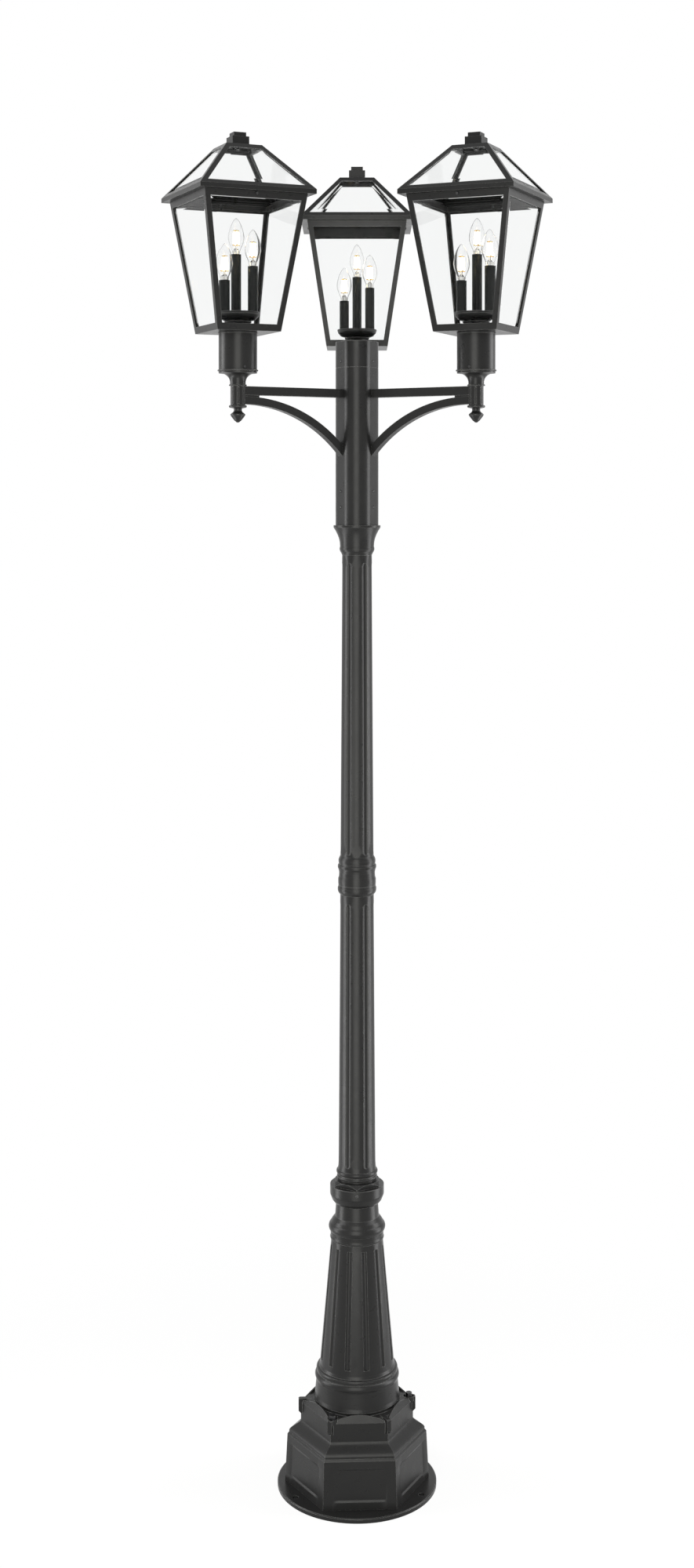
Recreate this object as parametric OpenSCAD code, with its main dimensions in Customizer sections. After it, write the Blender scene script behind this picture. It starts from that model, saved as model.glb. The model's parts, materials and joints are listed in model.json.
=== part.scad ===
// Three-lantern outdoor post light: a cast hexagonal pedestal and fluted cone, a two-piece
// fluted shaft, a hub with three braced arms, and a glazed square lantern on each arm.
// Millimetres, +Z up, origin on the post's axis at the floor, front towards -Y.

/* [Anchor plate] */
// Radius of the round plate that is bolted to the ground
plate_r = 182; // [172:1:200]
// Thickness of the plate
plate_t = 10; // [8:1:14]
// Chamfer round the plate's top edge
plate_chamfer = 2; // [1:0.5:3]
// Radius of the cable entry in the middle of the plate
entry_r = 40; // [25:1:60]
// Distance of the anchor holes from the axis
anchor_ring_r = 164; // [160:1:166]
// Radius of an anchor hole
anchor_hole_r = 7; // [5:0.5:8]
// Turn of plate and pedestal against the arms, in degrees
base_turn = 2.6; // [-8:0.2:8]

/* [Hexagonal pedestal] */
// Corner distance of the box at the plate
box_foot_r = 165; // [156:1:168]
// Corner distance of the box at its top
box_top_r = 159.5; // [150:0.5:164]
// Height of the box
box_h = 107; // [95:1:125]
// Corner distance of the upper band
band_r = 128.7; // [120:0.5:134]
// Height of the cove between box and band
cove_h = 45; // [38:1:55]
// Height of the upper band up to its arches
band_h = 25; // [18:1:32]
// Rise of the arches over the band
arch_h = 15; // [10:1:20]
// Wall of the casting
pedestal_wall = 6; // [4:0.5:8]
// Margin of the framed panel on each box face
panel_margin = 17; // [12:1:24]
// Depth of the framed panel
panel_depth = 1.6; // [1:0.2:2.4]
// Width of the panel's slanted border
panel_border = 4.5; // [3:0.5:8]
// Width of the upright rib at each corner of the band
ear_w = 12; // [8:1:16]
// How far a rib stands out past the band's corner
ear_proud = 5.3; // [3:0.1:8]

/* [Pedestal bolts] */
// Distance of the bolts from the axis
tie_ring_r = 119; // [116:0.5:121]
// Thread radius of a bolt
tie_r = 4; // [3:0.5:5]
// Width across flats of a bolt's head
tie_head_w = 13; // [10:1:16]
// Height of a bolt's head
tie_head_h = 6; // [4:0.5:8]
// Radius of the washer under a bolt's head
washer_r = 8.5; // [8:0.5:10]
// Thickness of that washer
washer_t = 1.6; // [1:0.2:2.5]

/* [Fluted cone] */
// Radius of the round foot on the pedestal
foot_r = 98; // [92:0.5:102]
// Height of the foot up to the lower ring
foot_h = 39; // [30:1:50]
// Largest radius of the lower ring
low_ring_r = 96.2; // [90:0.2:100]
// Radius of the cone at its bottom
cone_low_r = 84.8; // [80:0.2:90]
// Radius of the cone at its top
cone_top_r = 59.3; // [56:0.1:66]
// Height of the plain cone
cone_h = 284; // [240:1:340]
// Largest radius of the upper ring
top_ring_r = 64.9; // [60:0.1:70]
// Wall of the cone
cone_wall = 7; // [5:0.5:9]
// Number of flutes round the cone
cone_flutes = 12; // [8:1:16]
// Width of a cone flute
cone_flute_w = 13; // [9:0.5:16]
// Depth of a cone flute
cone_flute_d = 3.6; // [2:0.2:4.5]

/* [Collar] */
// Radius of the collar that holds the shaft
collar_r = 61.7; // [58:0.1:66]
// Height of the collar's upright side
collar_h = 21; // [16:1:30]
// Corner distance of the scalloped crown on the collar
crown_r = 58; // [56:0.5:60]
// Rise of the crown's arches
crown_h = 10; // [6:1:14]
// Thread radius of the collar's grub screws
grub_r = 3; // [2:0.5:4]
// How deep the shaft stands in the collar
tenon_depth = 52; // [30:1:56]

/* [Shaft] */
// Outer radius of the lower shaft at its foot
shaft_foot_r = 42.6; // [42:0.1:44]
// Outer radius of the lower shaft at its top
shaft_mid_low_r = 38.5; // [37:0.1:40]
// Outer radius of the upper shaft at its bottom
shaft_mid_high_r = 38.2; // [37:0.1:40]
// Outer radius of the upper shaft at its top
shaft_top_r = 34.2; // [33.5:0.1:37]
// Height of the lower shaft over the collar
lower_shaft_h = 675; // [500:1:900]
// Height of the upper shaft
upper_shaft_h = 756; // [500:1:900]
// Bore of both shafts
shaft_bore_r = 28; // [24:0.5:29]
// Width of a shaft flute
flute_w = 14.4; // [8:0.2:16]
// Depth of a shaft flute
flute_d = 3.2; // [1:0.2:3.4]
// Number of flutes round the shaft
shaft_flutes = 6; // [4:1:8]
// Height of the mouldings at the joint, below and above the seam
joint_low_h = 22; // [18:1:30]
joint_high_h = 65; // [60:1:80]
// Half length of the sleeve inside the joint
sleeve_half_h = 90; // [50:5:150]
// Wall of that sleeve
sleeve_wall = 4; // [2:0.5:6]

/* [Capital and hub] */
// Height of the capital
capital_h = 68; // [60:1:80]
// Radius of the capital's top
capital_r = 54; // [53:0.5:58]
// Radius of the three lobes of the hub's section
lobe_r = 36; // [34:0.5:38]
// Distance of the lobes from the axis
lobe_at = 15.3; // [13:0.1:16.5]
// Wall of the hub
hub_wall = 4; // [3:0.5:6]
// Height of the hub
hub_h = 360; // [340:1:420]
// Height of the hub's cap
hub_cap_h = 61; // [40:1:90]
// Height of the lanterns' floors over the seam between hub and cap
lantern_rise = 69; // [55:1:100]
// How far the capital's tenon stands in the hub
hub_tenon_h = 95; // [90:1:120]
// How far the cap's spigot stands in the hub
cap_spigot_h = 25; // [15:1:40]
// Radius of a hub screw's head
hub_screw_r = 3.6; // [3:0.2:5]

/* [Arms] */
// Distance of the lanterns from the post's axis
arm_reach = 305; // [285:1:360]
// Height of the straight bar
bar_h = 19.5; // [14:0.5:24]
// Width of bar and brace
bar_w = 19; // [12:0.5:24]
// Inner radius of the curved brace
brace_r = 322; // [300:1:380]
// Thickness of the brace
brace_t = 17.3; // [12:0.1:20]
// Gap between bar and brace at the arm's end
web_h = 3.2; // [2:0.1:8]
// Radius of the reeded column at the arm's end
column_r = 16.3; // [14:0.1:19]
// Height of the column
column_h = 42; // [40:0.5:60]
// Height of the bell over the column
bell_h = 20.4; // [16:0.2:30]
// Radius of the pendant under the column
pendant_r = 16.5; // [12:0.1:18]
// Length of the pendant
pendant_h = 31; // [24:0.5:40]

/* [Lantern fitter] */
// Outer radius of the round fitter under a lantern
fitter_r = 42.6; // [41:0.1:46]
// Wall of the fitter
fitter_wall = 2.7; // [2:0.1:3.5]
// Height of the fitter
fitter_h = 82; // [70:1:100]
// Clearance between the fitter and the arm's tenon
fitter_gap = 0.08; // [0.02:0.02:0.1]
// Height of the tenon in the fitter
tenon_h = 60; // [40:1:68]
// Thread radius of a fitter screw
set_screw_r = 2.5; // [2:0.5:3]
// How far the left and right lanterns are turned on their arms, in degrees
lantern_turn = 6.3; // [-20:0.1:20]

/* [Lantern frame] */
// Width of the lantern at its bottom
base_w = 148; // [136:1:170]
// Width of the lantern's body at its top
body_w = 238; // [210:1:260]
// Height of the body
body_h = 298; // [280:1:340]
// Width of a corner post on each face
post_w = 12; // [11.5:0.5:16]
// Thickness of the frame's angle sections
leg_t = 4; // [3:0.5:5]
// Height of the bottom rail
base_rail_h = 15; // [13:0.5:20]
// Height of the top rail
top_rail_h = 14.4; // [13:0.2:20]
// Thickness of the floor
floor_t = 3; // [2:0.5:5]

/* [Glass] */
// Thickness of a pane
pane_t = 4; // [3:0.5:5]
// Thickness of a pane at its bevelled edge
pane_edge_t = 1.8; // [1:0.1:2.5]
// Width of the bevel
bevel_w = 14; // [8:0.5:20]
// How far a pane reaches behind the frame
pane_lap = 3.4; // [2:0.1:4]
// Gap between two panes at a corner
pane_gap = 0.5; // [0.3:0.1:1]

/* [Lantern roof] */
// Width of the eave
eave_w = 268; // [255:1:290]
// Height of the eave's band
eave_h = 10; // [8:0.2:16]
// Height of the sloping roof
roof_h = 104.6; // [85:0.2:130]
// Width of the flat top
crest_w = 83; // [70:1:100]
// Width of the roof's strips along the hips, measured level
hip_w = 13; // [12:0.5:18]
// Height of the strip over the eave
eave_strip_h = 8.2; // [6:0.2:12]
// Height of the strip under the flat top
crest_strip_h = 10; // [7:0.5:14]
// Depth of the skirt that drops into the body
skirt_h = 9; // [7:0.5:10]
// Clearance between skirt and body
skirt_gap = 0.5; // [0.3:0.1:1]
// Thickness of the skirt
skirt_t = 3; // [2:0.5:4]
// Thread radius of a roof screw
roof_screw_r = 2; // [1.5:0.5:2.5]
// Radius of a roof screw's head
roof_head_r = 3.8; // [3:0.2:4]
// Width of the cap's lower block
cap_w = 39.4; // [34:0.2:50]
// Height of the cap's lower block
cap_h = 17; // [12:0.5:28]
// Width of the cap's upper block
cap_top_w = 28.8; // [22:0.2:33]
// Height of the cap's upper block
cap_top_h = 9.6; // [6:0.2:16]

/* [Candles and bulbs] */
// Radius of the candle pan
pan_r = 48; // [47.5:0.5:55]
// Height of the pan's deck over the floor
pan_h = 43; // [38:1:58]
// Distance of the candles from the lantern's axis
candle_ring_r = 36; // [33:0.5:36]
// Outer radius of a candle tube
candle_r = 11.3; // [10:0.1:12]
// Wall of a candle tube
candle_wall = 1; // [0.6:0.1:1.2]
// Height of the lowest candle over the pan's deck
candle_h = 68; // [60:1:80]
// Step from one candle to the next
candle_step = 32; // [20:1:36]
// Largest radius of a bulb
bulb_r = 18.2; // [15:0.1:19]
// Height of a bulb's glass
bulb_h = 74; // [60:1:80]
// Wall of a bulb's glass
bulb_wall = 0.8; // [0.5:0.1:1.2]
// Height of the metal that shows between candle and glass
cap_show_h = 8; // [4:0.5:10]
// Radius of the screwed bulb base
thread_r = 6; // [5:0.5:7]

/* [Hidden] */
$fn = 96;

black = [0.09, 0.09, 0.09];
steel = [0.55, 0.56, 0.58];
clear = [0.85, 0.92, 0.95, 0.35];
eps = 0.01;
reach_past = 40;
screw_gap = 0.3;
thread_gap = 0.05;
shaft_fit = 0.1;

// The three sides of the light: name, angle of the arm, turn of the lantern, turn of the candles
sides = ["left", "right", "rear"];
arm_angles = [210, 330, 90];
lantern_turns = [-lantern_turn, lantern_turn, 0];
candle_turns = [-103.7, 106.7, 0];

// Heights up the post, each from the one below
box_top_z = plate_t + box_h;
band_z = box_top_z + cove_h;
arch_z = band_z + band_h;
deck_z = arch_z + arch_h;
ear_z = arch_z + arch_h * 0.6;
low_ring_z = deck_z + foot_h;
low_ring_h = 37;
cone_z = low_ring_z + low_ring_h;
cone_end_z = cone_z + cone_h;
top_ring_h = 52;
neck_z = cone_end_z + top_ring_h;
neck_h = 30;
collar_z = neck_z + neck_h;
collar_flare_h = 22;
collar_side_z = collar_z + collar_flare_h;
collar_top_z = collar_side_z + collar_h;
crown_z = collar_top_z + crown_h;
shaft_ring_h = 31;
shaft_ring_z = crown_z + 3;
socket_z = crown_z - tenon_depth;
socket_r = shaft_foot_r + 1;
grub_z = collar_side_z + collar_h / 2;
flute_start_z = shaft_ring_z + shaft_ring_h;
seam_z = crown_z + lower_shaft_h;
joint_z = seam_z - joint_low_h;
flute_stop = 25;
shaft_top_z = seam_z + upper_shaft_h;
hub_z = shaft_top_z + capital_h;
hub_top_z = hub_z + hub_h;
lantern_z = hub_top_z + lantern_rise;

// Details of base, capital and hub
box_lip_h = 2.2;
cove_foot = flat_of(box_top_r - 4);
cove_head = flat_of(band_r);
arch_back = 3;
pad_r = washer_r + 2.5;
throat_r = foot_r - 18;
neck_low_r = 50.3;
neck_high_r = 48.2;
capital_spigot_h = 40;
wire_way_r = 20;
arm_wire_r = 5;
hub_foot_screws = [42, 78];
hub_cap_screw = 15;
seam_step = 0.7;

// Heights at the arm's end, counted down from the lantern
seat_z = lantern_z - fitter_h;
lip_h = 3;
lip_r = fitter_r + 2.6;
lip_step_h = 4.6;
bell_z = seat_z - lip_h - lip_step_h - bell_h;
collar_ring_h = 4;
column_top_z = bell_z - 2 * collar_ring_h;
column_z = column_top_z - column_h;
foot_ring_h = 8;
pendant_top_z = column_z - foot_ring_h;
bar_z = column_top_z - bar_h;
brace_top_z = bar_z - web_h;
brace_x = arm_reach - column_r - 0.5;
brace_z = brace_top_z - brace_r - brace_t;
flat_dip = 0.1;
flat_d = lobe_r - flat_dip + lobe_at * cos(60);
fitter_bore_r = fitter_r - fitter_wall;
tenon_r = fitter_bore_r - fitter_gap;
tenon_wall = 3;
web_l = 33;
pendant_neck_r = 9;
set_screw_z = 5 - fitter_h;

// Lantern body
base_half = base_w / 2;
body_half = body_w / 2;
lean = atan((body_half - base_half) / body_h);
leg_in = leg_t / cos(lean);
stop_in = leg_in + pane_t + 1;
stop_h = base_rail_h - pane_lap;
nipple_r = 5;
nipple_bore_r = 3;
nipple_drop = floor_t + 6;
pane_seat_gap = 0.1;
skirt_half = body_at(body_h - skirt_h) - leg_in - skirt_gap;
skirt_in = skirt_half - skirt_t;
screw_drop = skirt_h / 2;

// Lantern roof
eave_half = eave_w / 2;
crest_half = crest_w / 2;
pitch = -atan((eave_half - crest_half) / roof_h);
slope_z = body_h + eave_h;
crest_z = slope_z + roof_h;
soffit_t = 2.5;
crest_t = 3;
roof_in = leg_t / cos(pitch);
cap_neck_h = 4;
cap_stud_r = 4;
cap_nut_r = 6.5;
cap_nut_h = 4;

// Candles and bulbs
deck_pan_z = floor_t + pan_h;
candle_tops = [candle_h + 2 * candle_step, candle_h, candle_h + candle_step];
holder_r = candle_r - candle_wall - screw_gap;
holder_h = 40;
base_h = 25;
bulb_neck_r = 9;
bulb_belly = 0.4;

// Half width of the body's outer faces at a height over the lantern's bottom
function body_at(z) = base_half + (body_half - base_half) * z / body_h;
// Half width of the roof's outer faces at a height over the eave band
function roof_at(z) = eave_half - (eave_half - crest_half) * z / roof_h;
// Points along a circular arc
function arc(x, y, r, from, to, steps) =
    [for (i = [0:steps]) let (a = from + (to - from) * i / steps) [x + r * cos(a), y + r * sin(a)]];
// Apothem of a hexagon from its corner distance
function flat_of(corner) = corner * cos(30);

// One plane-sided prism whose upright outline is swept along X
module swept(points, length) {
    rotate([90, 0, 90]) linear_extrude(length, center = true) polygon(points);
}

// A four-sided tapered block: half width a at height z0, half width b at height z1
module taper_block(a, z0, b, z1) {
    outline = [[-a, z0], [a, z0], [b, z1], [-b, z1]];
    long = 2 * max(a, b) + 2;
    intersection() {
        swept(outline, long);
        rotate([0, 0, 90]) swept(outline, long);
    }
}

// A six-sided body from a half outline of [apothem, height] points
module hex_body(half) {
    back = [for (i = [len(half) - 1:-1:0]) [-half[i][0], half[i][1]]];
    intersection_for(turn = [0, 60, 120])
        rotate([0, 0, turn]) swept(concat(half, back), 2 * plate_r + reach_past);
}

// A long groove with round or square ends, lying along Z at the surface of a shaft
module groove(width, depth, length, round_ends) {
    r = (width * width / 4 + depth * depth) / (2 * depth);
    translate([r - depth, 0, 0]) {
        cylinder(h = length, r = r, center = true, $fn = 48);
        if (round_ends)
            for (end = [-1, 1]) translate([0, 0, end * length / 2]) sphere(r = r, $fn = 48);
    }
}

// Grooves round a tapered shaft between two heights
module grooves(count, start, z0, r0, z1, r1, width, depth, inset, round_ends) {
    tilt = atan((r0 - r1) / (z1 - z0));
    for (i = [0:count - 1])
        rotate([0, 0, start + i * 360 / count])
            translate([(r0 + r1) / 2, 0, (z0 + z1) / 2])
                rotate([0, -tilt, 0])
                    groove(width, depth, z1 - z0 - 2 * inset, round_ends);
}

// A hexagon-headed bolt with washer, its seat at the origin, shank downwards
module hex_bolt(shank_r, shank_h) {
    translate([0, 0, -shank_h]) cylinder(h = shank_h + washer_t, r = shank_r, $fn = 32);
    cylinder(h = washer_t, r = washer_r, $fn = 48);
    translate([0, 0, washer_t])
        cylinder(h = tie_head_h, r = tie_head_w / 2 / cos(30), $fn = 6);
}

// A round-headed screw along +X, its seat at the origin and its shank inwards
module round_screw(head_r, head_h, shank_r, shank_h) {
    rotate([0, 90, 0]) {
        translate([0, 0, -shank_h]) cylinder(h = shank_h + eps, r = shank_r, $fn = 24);
        difference() {
            cylinder(h = head_h, r1 = head_r, r2 = head_r * 0.75, $fn = 32);
            translate([0, 0, head_h]) cube([head_r * 1.6, head_r * 0.3, head_h * 0.8], center = true);
        }
    }
}

// The hub's section: three lobes joined by three flats that face the arms
module lobed(r) {
    lobes = [-90, 30, 150];
    for (a = lobes) translate(lobe_at * [cos(a), sin(a)]) circle(r = r);
    polygon([for (a = lobes) for (side = [-60, 60])
        lobe_at * [cos(a), sin(a)] + (r - flat_dip) * [cos(a + side), sin(a + side)]]);
}

// Places a child on one side's arm, with X along the arm
module on_arm(i) {
    rotate([0, 0, arm_angles[i]]) children();
}

// Places a child in one side's lantern, its origin at the lantern's bottom
module in_lantern(i) {
    on_arm(i) translate([arm_reach, 0, lantern_z]) rotate([0, 0, lantern_turns[i]]) children();
}

// Places a child on one side's candles
module at_candles(i) {
    in_lantern(i) rotate([0, 0, candle_turns[i]])
        for (k = [0:2]) rotate([0, 0, k * 120]) translate([candle_ring_r, 0, deck_pan_z]) {
            $top = candle_tops[k];
            children();
        }
}

// Base

module anchor_plate() {
    color(black) rotate([0, 0, base_turn]) difference() {
        rotate_extrude($fn = 128) polygon([[entry_r, 0], [plate_r, 0],
            [plate_r, plate_t - plate_chamfer], [plate_r - plate_chamfer, plate_t],
            [entry_r, plate_t]]);
        for (a = [-30, 90, 210]) rotate([0, 0, a]) translate([anchor_ring_r, 0, -1])
            cylinder(h = plate_t + 2, r = anchor_hole_r);
        for (a = [0, 120, 240]) rotate([0, 0, a]) translate([tie_ring_r, 0, -1])
            cylinder(h = plate_t + 2, r = tie_r, $fn = 32);
    }
}

// Outline of the pedestal's faces as [apothem, height], with the cove as one soft S
function cove_point(t, inset) =
    [cove_foot + (cove_head - cove_foot) * (t + 0.11 * sin(180 * t) + 0.05 * sin(360 * t)) - inset,
     box_top_z + box_lip_h + (cove_h - box_lip_h) * t];
function pedestal_outline(inset, foot_z) = concat(
    [[0, foot_z], [flat_of(box_foot_r) - inset, foot_z],
     [flat_of(box_top_r) - inset, box_top_z - box_lip_h],
     [flat_of(box_top_r - 1.6) - inset, box_top_z]],
    [for (i = [0:10]) cove_point(i / 10, inset)],
    [[flat_of(band_r) - inset, arch_z]]);

// A shallow block with slanted sides that opens towards +X
function recess_outline(w) = [[-panel_depth, panel_border - w / 2], [0, -w / 2], [2, -w / 2],
    [2, w / 2], [0, w / 2], [-panel_depth, w / 2 - panel_border]];
module panel_recess(w, h) {
    intersection() {
        linear_extrude(h, center = true) polygon(recess_outline(w));
        rotate([90, 0, 0]) linear_extrude(w, center = true) polygon(recess_outline(h));
    }
}

// A band corner's upright rib with its bolt pad
module ear() {
    rotate([90, 0, 0]) linear_extrude(ear_w, center = true)
        polygon([[tie_ring_r - washer_r, ear_z], [band_r + ear_proud, ear_z],
            [band_r + ear_proud, band_z + ear_proud + 1], [band_r - 1, band_z],
            [tie_ring_r - washer_r, band_z]]);
    intersection() {
        translate([tie_ring_r, 0, band_z]) cylinder(h = ear_z - band_z, r = pad_r);
        hex_body([[0, band_z], [flat_of(band_r), band_z], [flat_of(band_r), ear_z], [0, ear_z]]);
    }
}

module hex_pedestal() {
    face = flat_of(band_r);
    arch_end = norm([face, band_r / 2 - ear_w / 2 / cos(30)]);
    fall = arch_h / (arch_end - face);
    far = plate_r;
    face_lean = atan((flat_of(box_foot_r) - flat_of(box_top_r)) / (box_h - box_lip_h));
    color(black) rotate([0, 0, base_turn]) difference() {
        union() {
            // The cone that trims the top leaves one arch on each face
            intersection() {
                hex_body(concat(pedestal_outline(0, plate_t), [[face - arch_back, deck_z], [0, deck_z]]));
                rotate_extrude() polygon([[0, plate_t], [far, plate_t],
                    [far, deck_z - fall * (far - face)], [face, deck_z], [0, deck_z]]);
            }
            for (a = [0:60:300]) rotate([0, 0, a]) ear();
        }
        hex_body(concat(pedestal_outline(pedestal_wall, plate_t - 1),
            [[face - pedestal_wall - arch_back, deck_z - pedestal_wall],
             [0, deck_z - pedestal_wall]]));
        translate([0, 0, deck_z - pedestal_wall - 1]) cylinder(h = pedestal_wall + 2, r = throat_r);
        for (a = [30:60:330]) rotate([0, 0, a])
            translate([(flat_of(box_foot_r) + flat_of(box_top_r)) / 2, 0,
                plate_t + (box_h - box_lip_h) / 2])
                rotate([0, -face_lean, 0])
                    panel_recess(box_top_r - 2 * panel_margin, box_h - 2 * panel_margin);
        for (a = [0, 120, 240]) rotate([0, 0, a]) translate([tie_ring_r, 0, 0]) {
            translate([0, 0, band_z - 1])
                cylinder(h = ear_z - band_z + 2, r = tie_r + screw_gap, $fn = 32);
            translate([0, 0, ear_z]) cylinder(h = arch_h, r = washer_r + screw_gap, $fn = 48);
        }
    }
}

module pedestal_bolts() {
    color(black) rotate([0, 0, base_turn]) for (a = [0, 120, 240])
        rotate([0, 0, a]) translate([tie_ring_r, 0, ear_z]) rotate([0, 0, 12 + a / 3])
            hex_bolt(tie_r - thread_gap, ear_z - 1);
}

// Half outline of the fluted casting from its foot to the collar's top
function cone_outline() = concat(
    [[foot_r, deck_z], [foot_r - 1.6, deck_z + foot_h * 0.2],
     [low_ring_r - 2.2, low_ring_z - foot_h * 0.2], [low_ring_r - 3, low_ring_z + 1]],
    arc(low_ring_r - 10, low_ring_z + 11, 10, -40, 55, 8),
    [[low_ring_r - 4.4, low_ring_z + 20.5], [low_ring_r - 3.4, low_ring_z + 22],
     [low_ring_r - 3.4, low_ring_z + 26.5], [low_ring_r - 4.6, low_ring_z + 29],
     [cone_low_r + 2.4, low_ring_z + 31], [cone_low_r, cone_z], [cone_top_r, cone_end_z],
     [cone_top_r + 1.7, cone_end_z + 1], [cone_top_r + 2.4, cone_end_z + 4.5],
     [cone_top_r + 1.2, cone_end_z + 9]],
    arc(top_ring_r - 13, cone_end_z + 28, 13, -46, 48, 10),
    [[top_ring_r - 8.6, cone_end_z + 45], [neck_low_r, neck_z], [neck_high_r, collar_z],
     [neck_high_r + 3.4, collar_z + 1.6], [collar_r - 5, collar_z + 8],
     [collar_r - 2.6, collar_z + 14], [collar_r - 0.6, collar_z + 19],
     [collar_r, collar_side_z], [collar_r, collar_top_z - 1], [collar_r - 1, collar_top_z]]);

module fluted_cone() {
    crown_flat = flat_of(crown_r);
    color(black) difference() {
        union() {
            rotate_extrude($fn = 128) polygon(concat([[0, deck_z]], cone_outline(),
                [[0, collar_top_z]]));
            // The crown: a hexagon trimmed by a cone, which leaves six small arches
            intersection() {
                translate([0, 0, collar_top_z - 1]) rotate([0, 0, 30])
                    cylinder(h = crown_h + 1, r = crown_r, $fn = 6);
                rotate_extrude() polygon([[0, collar_top_z - 1], [crown_r + 1, collar_top_z - 1],
                    [crown_r + 1, collar_top_z + 1], [crown_r, collar_top_z + 1.4],
                    [crown_flat, crown_z], [0, crown_z]]);
            }
        }
        rotate_extrude() polygon([[0, deck_z - 1], [throat_r, deck_z - 1],
            [cone_low_r - cone_wall, low_ring_z], [cone_low_r - cone_wall, cone_z],
            [cone_top_r - cone_wall, cone_end_z], [shaft_bore_r + 8, neck_z],
            [shaft_bore_r + 8, socket_z], [socket_r, socket_z], [socket_r, crown_z + 1],
            [0, crown_z + 1]]);
        grooves(cone_flutes, 15, cone_z, cone_low_r, cone_end_z, cone_top_r,
            cone_flute_w, cone_flute_d, 12, false);
        for (a = arm_angles) rotate([0, 0, a + 180]) translate([socket_r - 2, 0, grub_z])
            rotate([0, 90, 0]) cylinder(h = collar_r, r = grub_r, $fn = 32);
    }
}

module collar_screws() {
    color(black) for (a = arm_angles) rotate([0, 0, a + 180])
        translate([socket_r - shaft_fit, 0, grub_z]) rotate([0, 90, 0]) difference() {
            cylinder(h = collar_r - socket_r - 1.5, r = grub_r - thread_gap, $fn = 32);
            translate([0, 0, collar_r - socket_r - 4]) cylinder(h = 4, r = grub_r / 2, $fn = 6);
        }
}

// Shaft

module lower_shaft() {
    low_z = flute_start_z + flute_w / 2;
    high_z = joint_z - flute_stop;
    rise = joint_z - flute_start_z;
    function r_at(z) = shaft_foot_r + (shaft_mid_low_r - shaft_foot_r) * (z - flute_start_z) / rise;
    color(black) difference() {
        rotate_extrude($fn = 128) polygon(concat(
            [[shaft_bore_r, socket_z], [socket_r - shaft_fit, socket_z],
             [socket_r - shaft_fit, shaft_ring_z + 1], [shaft_foot_r + 3, shaft_ring_z + 3],
             [shaft_foot_r + 3.6, shaft_ring_z + 5.5], [shaft_foot_r + 2.6, shaft_ring_z + 8],
             [shaft_foot_r + 1.4, shaft_ring_z + 9.5]],
            arc(shaft_foot_r - 1.3, shaft_ring_z + 16, 6, -62, 62, 8),
            [[shaft_foot_r + 0.9, shaft_ring_z + 23.5], [shaft_foot_r, flute_start_z],
             [shaft_mid_low_r, joint_z]],
            [for (p = [[3, 0.16], [5, 0.32], [5.8, 0.5], [5.8, 0.72], [4.6, 0.84], [4.3, 1]])
                [shaft_mid_low_r + p[0], joint_z + p[1] * joint_low_h]],
            [[shaft_bore_r, seam_z]]));
        grooves(shaft_flutes, 0, low_z, r_at(low_z), high_z, r_at(high_z),
            flute_w, flute_d, 0, true);
    }
}

module coupling_sleeve() {
    color(steel) translate([0, 0, seam_z - sleeve_half_h]) difference() {
        cylinder(h = 2 * sleeve_half_h, r = shaft_bore_r - shaft_fit);
        translate([0, 0, -1])
            cylinder(h = 2 * sleeve_half_h + 2, r = shaft_bore_r - shaft_fit - sleeve_wall);
    }
}

module upper_shaft() {
    start_z = seam_z + joint_high_h;
    low_z = start_z + flute_w;
    high_z = shaft_top_z - flute_stop;
    rise = shaft_top_z - start_z;
    function r_at(z) = shaft_mid_high_r + (shaft_top_r - shaft_mid_high_r) * (z - start_z) / rise;
    color(black) difference() {
        rotate_extrude($fn = 128) polygon(concat(
            [[shaft_bore_r, seam_z], [shaft_mid_high_r + 4.6, seam_z],
             [shaft_mid_high_r + 5, seam_z + 5]],
            [for (p = [[5, 0.22], [3.2, 0.31], [2.9, 0.45], [4.1, 0.54], [5.8, 0.61],
                [6, 0.65], [5.8, 0.69], [3.5, 0.75], [4.2, 0.81], [4.3, 0.89], [2.3, 0.97]])
                [shaft_mid_high_r + p[0], seam_z + p[1] * joint_high_h]],
            [[shaft_mid_high_r, start_z + 2], [shaft_top_r, shaft_top_z],
             [shaft_bore_r, shaft_top_z]]));
        grooves(shaft_flutes, 0, low_z, r_at(low_z), high_z, r_at(high_z),
            flute_w, flute_d, 0, true);
    }
}

// Capital, hub and arms

module post_capital() {
    color(black) difference() {
        union() {
            translate([0, 0, shaft_top_z - capital_spigot_h])
                cylinder(h = capital_spigot_h + 1, r = shaft_bore_r - shaft_fit);
            rotate_extrude($fn = 128) polygon(concat(
                [[0, shaft_top_z], [shaft_top_r, shaft_top_z],
                 [shaft_top_r + 1.8, shaft_top_z + capital_h * 0.06],
                 [shaft_top_r + 4.2, shaft_top_z + capital_h * 0.12],
                 [shaft_top_r + 5.8, shaft_top_z + capital_h * 0.18],
                 [shaft_top_r + 5.8, shaft_top_z + capital_h * 0.23],
                 [shaft_top_r + 4.8, shaft_top_z + capital_h * 0.29]],
                [for (i = [0:10]) let (t = i / 10)
                    [shaft_top_r + 5 + (capital_r - shaft_top_r - 5) * pow(t, 1.8),
                     shaft_top_z + capital_h * (0.35 + 0.58 * t)]],
                [[capital_r, hub_z], [0, hub_z]]));
            translate([0, 0, hub_z - 1]) linear_extrude(hub_tenon_h + 1)
                lobed(lobe_r - hub_wall - screw_gap);
        }
        translate([0, 0, shaft_top_z - capital_spigot_h - 1])
            cylinder(h = capital_spigot_h + capital_h + hub_tenon_h + 2, r = wire_way_r);
        hub_screw_holes(hub_foot_screws);
    }
}

// Screw holes through the flats, at heights over the hub's foot
module hub_screw_holes(heights) {
    for (a = arm_angles) for (h = heights) rotate([0, 0, a]) translate([0, 0, hub_z + h])
        rotate([0, 90, 0]) cylinder(h = flat_d + 1, r = hub_screw_r / 2, $fn = 24);
}

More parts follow.
